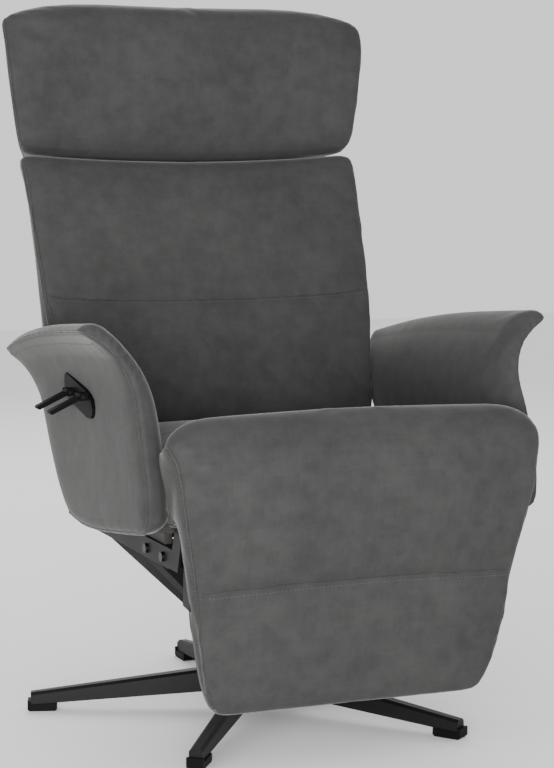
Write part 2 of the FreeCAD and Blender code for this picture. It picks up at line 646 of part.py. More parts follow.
def make_neck_hinges():
    """Two strap hinges: the lower leaf with its pin is on the back's board, the upper on the head's."""
    pivot = in_back("back_pad + neck_depth", "back_length - 3")
    leaf_near = "back_pad + back_board"
    board_rear = "head_front + head_pad + back_board"
    lower = []
    upper = []
    for side_name, side in SIDES:
        left_edge = "neck_offset - leaf_half" if side > 0 else "-neck_offset - leaf_half"
        middle = "neck_offset" if side > 0 else "-neck_offset"
        plate = [in_back(leaf_near, "back_length - 110"), in_back(leaf_near, "back_length - 11"),
                 in_back(leaf_near + " + leaf_steel", "back_length - 11"),
                 in_back(leaf_near + " + leaf_steel", "back_length - 110")]
        tab = [in_back(leaf_near, "back_length - 14"), in_back(leaf_near, "back_length - 3"),
               in_back(leaf_near + " + leaf_steel", "back_length - 3"),
               in_back(leaf_near + " + leaf_steel", "back_length - 14")]
        name = "neck_lower_" + side_name
        pieces = [prism(name + "_plate", "YZ_Plane", plate, left_edge, "2 * leaf_half")]
        for end, start in (("near", left_edge), ("far", middle + " + knuckle_half + 0.3")):
            length = "leaf_half - knuckle_half - 0.3"
            pieces.append(prism("%s_tab_%s" % (name, end), "YZ_Plane", tab, start, length))
            pieces.append(rod("%s_knuckle_%s" % (name, end), "knuckle_radius", length, (start,) + pivot, "x"))
        pieces.append(rod(name + "_pin", "neck_pin_radius", "2 * leaf_half", (left_edge,) + pivot, "x"))
        lower.append(joined(name + "_whole", pieces))

        name = "neck_upper_" + side_name
        strip = [(board_rear, "head_low + 60"), (board_rear, "head_low - 4"),
                 (pivot[0] + " - 3", pivot[1] + " + 4"), (pivot[0] + " + 4", pivot[1] + " - 3"),
                 (board_rear + " + leaf_steel", "head_low - 8"),
                 (board_rear + " + leaf_steel", "head_low + 60")]
        start = middle + " - knuckle_half"
        strap = prism(name + "_strap", "YZ_Plane", strip, start, "2 * knuckle_half")
        knuckle = rod(name + "_knuckle", "knuckle_radius", "2 * knuckle_half", (start,) + pivot, "x")
        hole = rod(name + "_hole", "neck_pin_radius + running_gap", "2 * knuckle_half + 2",
                   (start + " - 1",) + pivot, "x")
        upper.append(cut(name + "_cut", joined(name + "_whole", [strap, knuckle]), hole))
    node(joined("neck_lower_pair", lower), "neck_hinges_lower")
    node(joined("neck_upper_pair", upper), "neck_hinges_upper")


# --------------------------------------------------------------------------- leg rest


def lean_rest(thing):
    """Lean a piece drawn upright, with its front at depth 0, like the leg rest hanging at rest."""
    return place(thing, ("0", "rest_foot", "rest_low"), (1, 0, 0), "rest_lean")


def in_rest(depth, height):
    """Formulas for the (y, z) of a point given in the leg rest's own frame."""
    return ("rest_foot + (%s) * cos(rest_lean) - (%s) * sin(rest_lean)" % (depth, height),
            "rest_low + (%s) * sin(rest_lean) + (%s) * cos(rest_lean)" % (depth, height))


def make_leg_rest():
    """Padded board that hangs under the seat's front edge and swings up about the knee roll."""
    pivot = ("rest_pivot", "rest_pivot_high")
    outline = both_sides([("rest_low_half - 20", "0"), ("rest_low_half", "18"),
                          ("rest_mid_half", "rest_middle"), ("rest_top_half", "rest_length - 20"),
                          ("rest_top_half - 8", "rest_length")])
    slab = lean_rest(front_prism("rest_slab", outline, "0", "rest_pad"))
    roll = rod("knee_roll", "roll_radius", "2 * roll_half", ("-roll_half",) + pivot, "x")
    core = rod("knee_roll_core", "tube_radius", "2 * roll_half + 2", ("-roll_half - 1",) + pivot, "x")
    soft = joined("rest_pad_whole", [slab, roll])
    board_rear = "rest_pad + rest_board"
    board_top = "rest_length - 1.3 * roll_radius"
    board = both_sides([("rest_low_half - 16", "14"), ("roll_half", "rest_middle - 10"),
                        ("roll_half", board_top)])
    ply = lean_rest(front_prism("rest_board_block", board, "rest_pad", board_rear))
    node(cut("rest_pad_bored", cut("rest_pad_cut", soft, core), ply), "rest_pad")
    node(ply, "rest_board")
    bracket = [("-150", "rail_low + 4"), ("-150", "rail_high"), ("-288", "rail_high"),
               ("rest_pivot + hinge_radius", "rest_pivot_high"),
               ("rest_pivot - hinge_radius", "rest_pivot_high"), ("-310", "rail_low + 4")]
    arm = [in_rest("rest_pad + 0.5", "rest_middle - 8"), in_rest(board_rear + " + 16", "rest_middle - 8"),
           ("rest_pivot + hinge_radius - 1", "rest_pivot_high"),
           ("rest_pivot - hinge_radius - 6", "rest_pivot_high")]
    pins = hinge_pair("rest_bracket", bracket, "rest_arm", arm, "rest_pin", pivot)
    tube = rod("knee_tube_outer", "tube_radius", "2 * roll_half + 2", ("-(roll_half + 1)",) + pivot, "x")
    bore = rod("knee_tube_bore", "pin_radius + running_gap", "2 * roll_half + 4",
               ("-(roll_half + 2)",) + pivot, "x")
    node(cut("knee_tube_cut", tube, bore), "knee_tube")
    ratchets = []
    for side_name, side in SIDES:
        start = "rail_outer + plate_steel" if side > 0 else "-(rail_outer + plate_steel + ratchet_width)"
        ratchets.append(rod("ratchet_" + side_name, "ratchet_radius", "ratchet_width", (start,) + pivot, "x"))
    node(cut("ratchet_cut", joined("ratchet_pair", ratchets), pins), "rest_ratchets")


def make_bolts():
    """Dome-headed bolts: heads on the brackets' outer faces and on the timber's inner faces."""
    heads = []
    for side_name, side in SIDES:
        for number, (along, up) in enumerate((("-250", "296"), ("-180", "296"), ("145", "296"), ("190", "296"))):
            start = "rail_outer + plate_steel" if side > 0 else "-(rail_outer + plate_steel + bolt_head)"
            heads.append(rod("bracket_bolt_%s_%d" % (side_name, number), "bolt_head_radius", "bolt_head",
                             (start, along, up), "x"))
        for number, along in enumerate(("-220", "-70", "60")):
            edge = "seat_half - timber_width"
            start = edge + " - bolt_head" if side > 0 else "-(%s)" % edge
            heads.append(rod("arm_bolt_%s_%d" % (side_name, number), "bolt_head_radius", "bolt_head",
                             (start, along, "(timber_low + seat_low) / 2"), "x"))
    node(joined("bolt_group", heads), "frame_bolts")


# --------------------------------------------------------------------------- build, check, write

make_hub()
make_legs()
make_column()
make_swivel_head()
make_struts()
make_rails()
make_seat()
make_arms()
make_levers()
make_spring()
make_back()
make_back_hinge()
make_head()
make_neck_hinges()
make_leg_rest()
make_bolts()
DOC.recompute()

for item in DOC.Objects:
    if "Invalid" in item.State or "Error" in item.State:
        raise RuntimeError("%s failed: %s" % (item.Name, item.State))
for part in NODES:
    if part.Shape.isNull() or not part.Shape.isValid() or part.Shape.Volume <= 0:
        raise RuntimeError("%s has no valid solid" % part.Label)
for part in NODES:
    part.Shape.exportStep("parts/%s.step" % part.Label)
    bounds = part.Shape.BoundBox
    print("%-20s solids %d  volume %9.1f cm3  x %.0f..%.0f  y %.0f..%.0f  z %.0f..%.0f" % (
        part.Label, len(part.Shape.Solids), part.Shape.Volume / 1000, bounds.XMin, bounds.XMax,
        bounds.YMin, bounds.YMax, bounds.ZMin, bounds.ZMax))
print(len(NODES), "sub-parts")
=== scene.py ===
# %% [markdown]
# # A swivel recliner armchair
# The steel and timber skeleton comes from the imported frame. This lesson dresses it: foam and
# velvet covers, sewn seams, powder-coated steel, moulded plastic. All lengths are in metres,
# the chair faces -Y, and the floor is at z = 0.

# %% Load the frame
import json
import math

import bmesh
import bpy
import numpy as np
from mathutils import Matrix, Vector
from mathutils.bvhtree import BVHTree
from mathutils.kdtree import KDTree


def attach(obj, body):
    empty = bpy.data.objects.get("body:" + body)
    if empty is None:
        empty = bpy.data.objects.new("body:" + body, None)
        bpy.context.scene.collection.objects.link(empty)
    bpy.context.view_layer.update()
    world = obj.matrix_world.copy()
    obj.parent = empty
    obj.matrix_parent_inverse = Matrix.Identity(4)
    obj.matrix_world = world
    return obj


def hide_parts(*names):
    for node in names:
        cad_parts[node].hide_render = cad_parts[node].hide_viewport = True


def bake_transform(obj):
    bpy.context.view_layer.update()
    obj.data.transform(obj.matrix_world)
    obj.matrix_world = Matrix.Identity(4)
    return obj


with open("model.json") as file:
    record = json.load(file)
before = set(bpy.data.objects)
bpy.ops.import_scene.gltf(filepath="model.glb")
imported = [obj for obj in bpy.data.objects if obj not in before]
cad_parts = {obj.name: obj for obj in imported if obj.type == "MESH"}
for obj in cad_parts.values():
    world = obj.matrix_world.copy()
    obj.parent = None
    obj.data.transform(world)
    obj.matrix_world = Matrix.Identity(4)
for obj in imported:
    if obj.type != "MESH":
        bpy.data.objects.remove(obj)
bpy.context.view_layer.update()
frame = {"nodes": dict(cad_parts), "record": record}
scene = bpy.context.scene

# %% [markdown]
# The camera comes first, because every later choice is judged through it. A long lens from
# just over three metres keeps the chair's uprights almost parallel.

# %% Camera, floor and studio light
VIEW_TURN = math.radians(-22.11)
VIEW_TILT = math.radians(83.8)
VIEW_PLACE = (-1.1734, -2.9651, 0.848)
VIEW_LENS = 98.41

lens_data = bpy.data.cameras.new("camera")
lens_data.lens = VIEW_LENS
lens_data.sensor_width = 36
camera = bpy.data.objects.new("camera", lens_data)
camera.location = VIEW_PLACE
camera.rotation_euler = (VIEW_TILT, 0, VIEW_TURN)
scene.collection.objects.link(camera)
scene.camera = camera


def soft_light(name, place, aim, width, power):
    """A square area light that faces a point."""
    data = bpy.data.lights.new(name, "AREA")
    data.size = width
    data.energy = power
    lamp = bpy.data.objects.new(name, data)
    lamp.location = place
    lamp.rotation_euler = (Vector(aim) - Vector(place)).to_track_quat("-Z", "Y").to_euler()
    scene.collection.objects.link(lamp)


soft_light("key light", (-3.0, -1.6, 1.6), (0, 0, 0.5), 2.4, 24)
soft_light("front light", (-1.6, -3.4, 0.45), (0, 0, 0.45), 2.0, 330)
soft_light("rim light", (0.6, 2.8, 2.6), (0, 0.1, 0.7), 2.0, 50)

world = bpy.data.worlds.new("studio")
world.use_nodes = True
world.node_tree.nodes["Background"].inputs["Color"].default_value = (1, 1, 1, 1)
world.node_tree.nodes["Background"].inputs["Strength"].default_value = 1.1
scene.world = world

# %% [markdown]
# Materials share a few effects. Each effect is a shader node group with named inputs, built once
# and placed in every material that needs it with its own values. The Principled shader itself
# stays in the material, and plain numbers stay on its own sockets.

# %% Node group helpers


def new_group(name, inputs, outputs):
    """An empty shader group with its sockets, and its input and output nodes."""
    group = bpy.data.node_groups.new(name, "ShaderNodeTree")
    for label, kind, value in inputs:
        socket = group.interface.new_socket(label, in_out="INPUT", socket_type="NodeSocket" + kind)
        socket.default_value = value
    for label, kind in outputs:
        group.interface.new_socket(label, in_out="OUTPUT", socket_type="NodeSocket" + kind)
    return group, group.nodes.new("NodeGroupInput"), group.nodes.new("NodeGroupOutput")


def noise(tree, vector, scale, detail, roughness=0.55):
    """A noise texture node on the given coordinates."""
    texture = tree.nodes.new("ShaderNodeTexNoise")
    texture.inputs["Detail"].default_value = detail
    texture.inputs["Roughness"].default_value = roughness
    tree.links.new(vector, texture.inputs["Vector"])
    if isinstance(scale, (int, float)):
        texture.inputs["Scale"].default_value = scale
    else:
        tree.links.new(scale, texture.inputs["Scale"])
    return texture.outputs["Fac"]


def ramped(tree, value, low, high, to_low=0.0, to_high=1.0):
    """Map a value's range onto another, clamped."""
    node = tree.nodes.new("ShaderNodeMapRange")
    for label, number in (("From Min", low), ("From Max", high), ("To Min", to_low), ("To Max", to_high)):
        node.inputs[label].default_value = number
    tree.links.new(value, node.inputs["Value"])
    return node.outputs["Result"]


def merged(tree, first, second, operation="ADD"):
    """A Math node on two sockets or numbers."""
    node = tree.nodes.new("ShaderNodeMath")
    node.operation = operation
    for socket, value in zip(node.inputs, (first, second)):
        if isinstance(value, (int, float)):
            socket.default_value = value
        else:
            tree.links.new(value, socket)
    return node.outputs["Value"]


def mixed(tree, factor, first, second, mode="MIX"):
    """A colour mix of two sockets or colours."""
    node = tree.nodes.new("ShaderNodeMix")
    node.data_type = "RGBA"
    node.blend_type = mode
    tree.links.new(factor, node.inputs["Factor"])
    for socket, value in ((node.inputs[6], first), (node.inputs[7], second)):
        if isinstance(value, tuple):
            socket.default_value = value
        else:
            tree.links.new(value, socket)
    return node.outputs[2]


# %% [markdown]
# Velvet is a short, dense pile. Brushed one way it looks darker, the other way lighter, so a
# velvet chair is never one grey: it has soft cloudy patches a hand wide, small brushed marks
# inside them, and a fine grain. The group mixes three sizes of noise with faint streaks along the
# two ways of the cloth, and adds a fine weave to the height.

# %% The nap group
WEAVE_SCALE = 620.0
UP_THE_CLOTH, ACROSS_THE_CLOTH = (14.0, 14.0, 300.0), (300.0, 14.0, 14.0)
nap, entry, leave = new_group(
    "brushed nap",
    [("Dark", "Color", (0.05, 0.05, 0.05, 1)), ("Light", "Color", (0.1, 0.1, 0.1, 1)),
     ("Patch Scale", "Float", 7.0), ("Brush Scale", "Float", 38.0), ("Grain Scale", "Float", 900.0)],
    [("Color", "Color"), ("Roughness", "Float"), ("Height", "Float")])
coords = nap.nodes.new("ShaderNodeTexCoord").outputs["Object"]
patches = noise(nap, coords, entry.outputs["Patch Scale"], 2.0)
brushed = noise(nap, coords, entry.outputs["Brush Scale"], 5.0, 0.65)
grain = noise(nap, coords, entry.outputs["Grain Scale"], 2.0)
weave = nap.nodes.new("ShaderNodeTexVoronoi")
weave.inputs["Scale"].default_value = WEAVE_SCALE
nap.links.new(coords, weave.inputs["Vector"])
streaks = []
for stretch in (UP_THE_CLOTH, ACROSS_THE_CLOTH):
    drawn_out = nap.nodes.new("ShaderNodeVectorMath")
    drawn_out.operation = "MULTIPLY"
    drawn_out.inputs[1].default_value = stretch
    nap.links.new(coords, drawn_out.inputs[0])
    threads = noise(nap, drawn_out.outputs["Vector"], 1.0, 3.0, 0.6)
    streaks.append(ramped(nap, threads, 0.4, 0.7, 0.0, 0.075))
cloud = merged(nap, ramped(nap, patches, 0.35, 0.65, 0.0, 0.26),
               ramped(nap, brushed, 0.36, 0.64, 0.0, 0.34))
cloud = merged(nap, cloud, ramped(nap, grain, 0.3, 0.7, 0.0, 0.12))
cloud = merged(nap, merged(nap, cloud, streaks[0]), streaks[1])
nap.links.new(mixed(nap, cloud, entry.outputs["Dark"], entry.outputs["Light"]), leave.inputs["Color"])
nap.links.new(ramped(nap, cloud, 0.0, 1.0, 0.95, 0.8), leave.inputs["Roughness"])
height = merged(nap, merged(nap, grain, 0.5, "MULTIPLY"),
                merged(nap, weave.outputs["Distance"], 0.4, "MULTIPLY"))
height = merged(nap, height, merged(nap, brushed, 0.9, "MULTIPLY"))
nap.links.new(height, leave.inputs["Height"])
print("group:", nap.name, len(nap.nodes), "nodes")

# %% [markdown]
# Painted steel, moulded plastic, zinc plate and timber all share one idea: a fine surface
# texture, a little unevenness in the gloss, and lighter rubbed spots. One group gives all three,
# and each material sets its own scales and strengths.

# %% The worn surface group
worn, entry, leave = new_group(
    "worn surface",
    [("Color", "Color", (0.03, 0.03, 0.03, 1)), ("Worn Color", "Color", (0.1, 0.1, 0.1, 1)),
     ("Texture Scale", "Float", 600.0), ("Wear", "Float", 0.2), ("Roughness Low", "Float", 0.35),
     ("Roughness High", "Float", 0.5)],
    [("Color", "Color"), ("Roughness", "Float"), ("Height", "Float")])
coords = worn.nodes.new("ShaderNodeTexCoord").outputs["Object"]
texture = noise(worn, coords, entry.outputs["Texture Scale"], 3.0)
broad = noise(worn, coords, 14.0, 4.0)
speck = noise(worn, coords, 160.0, 2.0)
rubbed = merged(worn, ramped(worn, speck, 0.62, 0.72), ramped(worn, broad, 0.5, 0.75), "MULTIPLY")
rubbed = merged(worn, rubbed, entry.outputs["Wear"], "MULTIPLY")
worn.links.new(mixed(worn, rubbed, entry.outputs["Color"], entry.outputs["Worn Color"]),
               leave.inputs["Color"])
spread = worn.nodes.new("ShaderNodeMapRange")
worn.links.new(broad, spread.inputs["Value"])
worn.links.new(entry.outputs["Roughness Low"], spread.inputs["To Min"])
worn.links.new(entry.outputs["Roughness High"], spread.inputs["To Max"])
worn.links.new(spread.outputs["Result"], leave.inputs["Roughness"])
worn.links.new(texture, leave.inputs["Height"])
print("group:", worn.name, len(worn.nodes), "nodes")

# %% Timber grain group
grain_group, entry, leave = new_group(
    "timber grain",
    [("Early", "Color", (0.5, 0.34, 0.18, 1)), ("Late", "Color", (0.33, 0.2, 0.09, 1)),
     ("Ring Scale", "Float", 16.0)],
    [("Color", "Color"), ("Roughness", "Float"), ("Height", "Float")])
coords = grain_group.nodes.new("ShaderNodeTexCoord").outputs["Object"]
rings = grain_group.nodes.new("ShaderNodeTexWave")
rings.inputs["Distortion"].default_value = 5.0
rings.inputs["Detail"].default_value = 3.0
grain_group.links.new(coords, rings.inputs["Vector"])
grain_group.links.new(entry.outputs["Ring Scale"], rings.inputs["Scale"])
pores = noise(grain_group, coords, 420.0, 3.0)
figure = merged(grain_group, merged(grain_group, rings.outputs["Fac"], 0.7, "MULTIPLY"),
                ramped(grain_group, pores, 0.4, 0.6, 0.0, 0.3))
grain_group.links.new(mixed(grain_group, figure, entry.outputs["Early"], entry.outputs["Late"]),
                      leave.inputs["Color"])
grain_group.links.new(ramped(grain_group, figure, 0, 1, 0.5, 0.7), leave.inputs["Roughness"])
grain_group.links.new(pores, leave.inputs["Height"])
print("group:", grain_group.name)

# %% Material builder


def make_material(name, group, values, sockets, bump, distance):
    """A Principled material whose colour, roughness and bump come from one group."""
    material = bpy.data.materials.new(name)
    material.use_nodes = True
    tree = material.node_tree
    shader = tree.nodes["Principled BSDF"]
    effect = tree.nodes.new("ShaderNodeGroup")
    effect.node_tree = group
    for label, value in values.items():
        effect.inputs[label].default_value = value
    for label, value in sockets.items():
        shader.inputs[label].default_value = value
    tree.links.new(effect.outputs["Color"], shader.inputs["Base Color"])
    tree.links.new(effect.outputs["Roughness"], shader.inputs["Roughness"])
    relief = tree.nodes.new("ShaderNodeBump")
    relief.inputs["Strength"].default_value = bump
    relief.inputs["Distance"].default_value = distance
    tree.links.new(effect.outputs["Height"], relief.inputs["Height"])
    tree.links.new(relief.outputs["Normal"], shader.inputs["Normal"])
    return material


def grey(level, warmth=0.0):
    """A grey of a brightness, a little warm if asked."""
    return (level * (1 + warmth), level, level * (1 - warmth), 1)


# %% [markdown]
# Every finish of the chair: velvet for the covers, a slightly lighter thread for the stitches,
# black powder coat, black plastic, bright and black zinc plate, beech and plywood, black stained
# timber, and woven webbing.

# %% The finishes
velvet = make_material("grey velvet", nap, {"Dark": grey(0.020, 0.01), "Light": grey(0.037, 0.012)},
                       {"Sheen Weight": 0.22, "Sheen Roughness": 0.3, "Sheen Tint": (0.9, 0.9, 0.88, 1),
                        "Specular IOR Level": 0.25}, 0.35, 0.0006)
thread = make_material("grey thread", nap,
                       {"Dark": grey(0.03), "Light": grey(0.055), "Grain Scale": 1500.0},
                       {"Sheen Weight": 0.1}, 0.4, 0.0004)
powder_coat = make_material("black powder coat", worn,
                            {"Color": grey(0.004), "Worn Color": grey(0.02), "Texture Scale": 900.0,
                             "Wear": 0.25, "Roughness Low": 0.4, "Roughness High": 0.55},
                            {"Specular IOR Level": 0.14}, 0.12, 0.0003)
plastic = make_material("black plastic", worn,
                        {"Color": grey(0.003), "Worn Color": grey(0.015), "Texture Scale": 1400.0,
                         "Wear": 0.3, "Roughness Low": 0.42, "Roughness High": 0.55},
                        {"Specular IOR Level": 0.05}, 0.08, 0.0002)
zinc = make_material("zinc plate", worn,
                     {"Color": grey(0.5), "Worn Color": grey(0.3), "Texture Scale": 300.0, "Wear": 0.6,
                      "Roughness Low": 0.28, "Roughness High": 0.45}, {"Metallic": 1.0}, 0.1, 0.0002)
timber = make_material("beech and plywood", grain_group, {}, {}, 0.2, 0.0004)
stained = make_material("black stained timber", grain_group,
                        {"Early": (0.020, 0.018, 0.016, 1), "Late": (0.010, 0.009, 0.008, 1)},
                        {}, 0.2, 0.0004)
black_zinc = make_material("black zinc plate", worn,
                           {"Color": grey(0.03), "Worn Color": grey(0.2), "Texture Scale": 300.0,
                            "Wear": 0.3, "Roughness Low": 0.3, "Roughness High": 0.45},
                           {"Metallic": 1.0}, 0.1, 0.0002)
webbing = make_material("woven webbing", nap,
                        {"Dark": grey(0.015), "Light": grey(0.04), "Brush Scale": 200.0}, {}, 0.6, 0.0008)
floor_paint = make_material("studio floor", worn,
                            {"Color": grey(0.86), "Worn Color": grey(0.83), "Texture Scale": 60.0,
                             "Wear": 0.1, "Roughness Low": 0.6, "Roughness High": 0.75}, {}, 0.02, 0.0002)

SLOT_FINISH = {"fabric": velvet, "steel": powder_coat, "bright_steel": zinc, "plastic": plastic,
               "timber": timber, "webbing": webbing}
for row in frame["record"]["subparts"]:
    node = frame["nodes"][row["node"]]
    node.data.materials.clear()
    finish = SLOT_FINISH[row["material_slot"]]
    if row["node"].startswith("seat_timber") or row["node"] == "frame_spacers":
        finish = stained
    if row["node"] == "frame_bolts" or row["node"].endswith("_pins"):
        finish = black_zinc
    node.data.materials.append(finish)
print("finishes:", len(SLOT_FINISH))

# %% The floor
FLOOR_SIZE = 14
FLOOR_DROP = 0.0005     # keeps the floor just under the glides
bpy.ops.mesh.primitive_grid_add(x_subdivisions=4, y_subdivisions=4, size=FLOOR_SIZE,
                                location=(0, 0, -FLOOR_DROP))
floor = bpy.context.object
floor.name = "studio_floor"
floor.data.materials.append(floor_paint)

# %% [markdown]
# ## Covers
# Every cover of this chair is a boxed cushion: a long panel runs round an outline, and two side
# panels close its ends. So one builder serves them all. It takes the outline as control points,
# each with a half width and the two radii of the rounded edge, and sweeps a smooth loop through
# them.

# %% The boxed cushion builder
STEP = 0.012
EDGE_STEPS = 5


def faced_out(mesh):
    """Turn a closed mesh's faces outwards, which a mirrored shape needs too."""
    build = bmesh.new()
    build.from_mesh(mesh)
    bmesh.ops.recalc_face_normals(build, faces=build.faces)
    build.to_mesh(mesh)
    build.free()


def smooth_loop(controls):
    """A closed Catmull-Rom loop through rows of numbers whose first two are the plane's point."""
    rows = np.array(controls, float)
    count = len(rows)
    out = []
    for index in range(count):
        before, here, there, after = (rows[(index + shift) % count] for shift in (-1, 0, 1, 2))
        parts = max(1, int(round(np.linalg.norm(there[:2] - here[:2]) / STEP)))
        for part in range(parts):
            f = part / parts
            out.append(0.5 * (2 * here + (there - before) * f
                              + (2 * before - 5 * here + 4 * there - after) * f * f
                              + (3 * here - before - 3 * there + after) * f ** 3))
    return np.array(out)


def inward_normals(loop):
    """Unit normals in the loop's plane that point into it."""
    ahead = np.roll(loop[:, :2], -1, axis=0) - np.roll(loop[:, :2], 1, axis=0)
    normals = np.stack([-ahead[:, 1], ahead[:, 0]], axis=1)
    normals /= np.linalg.norm(normals, axis=1)[:, None]
    area = np.sum(loop[:, 0] * np.roll(loop[:, 1], -1) - np.roll(loop[:, 0], -1) * loop[:, 1])
    return normals if area > 0 else -normals


def edge_row(loop, normals, side, turn, soft=1.0):
    """The loop moved round its edge by an angle: 0 is the long panel, 90 degrees the side panel."""
    half, across, drop = loop[:, 2], loop[:, 3] * soft, loop[:, 4] * soft
    sideways = side * (half - across + across * math.sin(turn))
    plane = loop[:, :2] + normals * (drop * (1 - math.cos(turn)))[:, None]
    return np.column_stack([sideways, plane])


def boxed_mesh(name, loop, columns, soft=(1.0, 1.0)):
    """A closed mesh: rows of the swept loop across the width, one face closing each end."""
    normals = inward_normals(loop)
    turns = [math.radians(90 * k / EDGE_STEPS) for k in range(1, EDGE_STEPS + 1)]
    rows = [edge_row(loop, normals, -1, turn, soft[0]) for turn in reversed(turns)]
    near = loop[:, 3] * soft[0] - loop[:, 2]
    far = loop[:, 2] - loop[:, 3] * soft[1]
    for column in range(columns + 1):
        share = column / columns
        bulge = (loop[:, 5] * 4 * share * (1 - share))[:, None]
        rows.append(np.column_stack([near + (far - near) * share, loop[:, :2] - normals * bulge]))
    rows += [edge_row(loop, normals, 1, turn, soft[1]) for turn in turns]
    count = len(loop)
    faces = []
    for r in range(len(rows) - 1):
        for c in range(count):
            n = (c + 1) % count
            faces.append((r * count + c, r * count + n, (r + 1) * count + n, (r + 1) * count + c))
    faces.append(tuple(range(count)))
    faces.append(tuple(reversed(range((len(rows) - 1) * count, len(rows) * count))))
    mesh = bpy.data.meshes.new(name)
    mesh.from_pydata([tuple(v) for v in np.concatenate(rows)], [], faces)
    faced_out(mesh)
    piece = bpy.data.objects.new(name, mesh)
    scene.collection.objects.link(piece)
    return piece


def points_of(piece):
    """The mesh's points, one row each."""
    flat = np.empty(len(piece.data.vertices) * 3)
    piece.data.vertices.foreach_get("co", flat)
    return flat.reshape(-1, 3)


def put_points(piece, points):
    """Move the mesh's points to the given rows."""
    piece.data.vertices.foreach_set("co", points.ravel())
    piece.data.update()


def apply_modifiers(piece):
    """Replace a piece's mesh with its evaluated one, and drop the modifiers."""
    bpy.context.view_layer.update()
    graph = bpy.context.evaluated_depsgraph_get()
    result = bpy.data.meshes.new_from_object(piece.evaluated_get(graph), depsgraph=graph)
    piece.modifiers.clear()
    piece.data = result
    return piece


def remeshed(piece, voxel):
    """Even quads all over, with no trace of how the form was built."""
    modifier = piece.modifiers.new("even quads", "REMESH")
    modifier.mode = "VOXEL"
    modifier.voxel_size = voxel
    return apply_modifiers(piece)


# %% [markdown]
# The foam inside a cover pushes the fabric out, and the seams hold it back. Cloth simulation
# does exactly that: the points near a seam are pinned, air pressure stands for the foam, and a
# cap keeps the swelling to what upholstery foam allows.

# %% Stuffing a cover
PRESSURE = 4.0
FRAMES = 20
SEWN_REACH = 0.009     # points this near a seam are held


def near_lines(points, lines):
    """Distance of each point to the nearest point of any seam line."""
    samples = [Vector(point) for line in lines for point in line]
    tree = KDTree(len(samples))
    for number, place in enumerate(samples):
        tree.insert(place, number)
    tree.balance()
    return np.array([tree.find(Vector(point))[2] for point in points])


def stuffed(piece, seams, cap):
    """Swell the cover by cloth simulation, held at its seams, then keep the result."""
    start = points_of(piece)
    gaps = near_lines(start, seams)
    held = piece.vertex_groups.new(name="sewn")
    for number in np.nonzero(gaps < SEWN_REACH)[0]:
        held.add([int(number)], 1.0, "REPLACE")
    cloth = piece.modifiers.new("foam pressure", "CLOTH")
    settings = cloth.settings
    settings.vertex_group_mass = "sewn"
    settings.use_pressure = True
    settings.uniform_pressure_force = PRESSURE
    settings.effector_weights.gravity = 0
    settings.tension_stiffness = 12
    settings.compression_stiffness = 12
    settings.bending_stiffness = 1.5
    settings.quality = 5
    cloth.point_cache.frame_start = 1
    cloth.point_cache.frame_end = FRAMES
    for number in range(1, FRAMES + 1):
        scene.frame_set(number)
    apply_modifiers(piece)
    scene.frame_set(1)
    moved = points_of(piece) - start
    length = np.linalg.norm(moved, axis=1)
    limit = np.where(length > 1e-9, np.tanh(length / cap) * cap / np.maximum(length, 1e-9), 0)
    put_points(piece, start + moved * limit[:, None])
    piece.vertex_groups.clear()
    print(piece.name, "swelled by at most %.1f mm" % (1000 * (length * limit).max()))
    return piece


# %% [markdown]
# A seam shows as a narrow valley with the folded edge of the fabric in it. The valley is pressed
# into the cover's points after the simulation, and a thin corded edge lies along it.

# %% Seams
SEAM_DEPTH, SEAM_WIDTH = 0.0020, 0.0045     # the narrow valley
SOFT_WIDTH = 0.014     # the wide one
LINE_STEP = 0.004
CORD_SIDES = 8


def subdivided(piece):
    """One smoothing subdivision, applied."""
    modifier = piece.modifiers.new("smooth", "SUBSURF")
    modifier.levels = modifier.render_levels = 1
    return apply_modifiers(piece)


def outward_normals(piece):
    """The cover's vertex normals, one row each."""
    flat = np.empty(len(piece.data.vertices) * 3)
    piece.data.vertices.foreach_get("normal", flat)
    return flat.reshape(-1, 3)


def pressed(piece, seams, soft_depth):
    """Press a narrow valley in a wide soft one into the cover along its seams."""
    points = points_of(piece)
    gaps = near_lines(points, seams)
    amount = SEAM_DEPTH * np.exp(-(gaps / SEAM_WIDTH) ** 2)
    amount = amount + soft_depth * np.exp(-(gaps / SOFT_WIDTH) ** 2)
    put_points(piece, points - outward_normals(piece) * amount[:, None])
    return piece


def dense(line, closed):
    """A polyline with points a step apart."""
    points = np.array(line, float)
    if closed:
        points = np.vstack([points, points[:1]])
    gaps = np.linalg.norm(np.diff(points, axis=0), axis=1)
    along = np.concatenate([[0], np.cumsum(gaps)])
    wanted = np.linspace(0, along[-1], max(2, int(along[-1] / LINE_STEP)))
    return np.column_stack([np.interp(wanted, along, points[:, k]) for k in range(3)])


def laid_on(piece, line, lift):
    """A line dropped onto the nearest point of a cover, lifted off it along its normal."""
    tree = BVHTree.FromObject(piece, bpy.context.evaluated_depsgraph_get())
    out = []
    for point in line:
        place, normal, _, _ = tree.find_nearest(Vector(point))
        out.append(place + normal * lift)
    smooth = np.array(out)
    for _ in range(3):
        smooth[1:-1] = 0.25 * smooth[:-2] + 0.5 * smooth[1:-1] + 0.25 * smooth[2:]
    return smooth


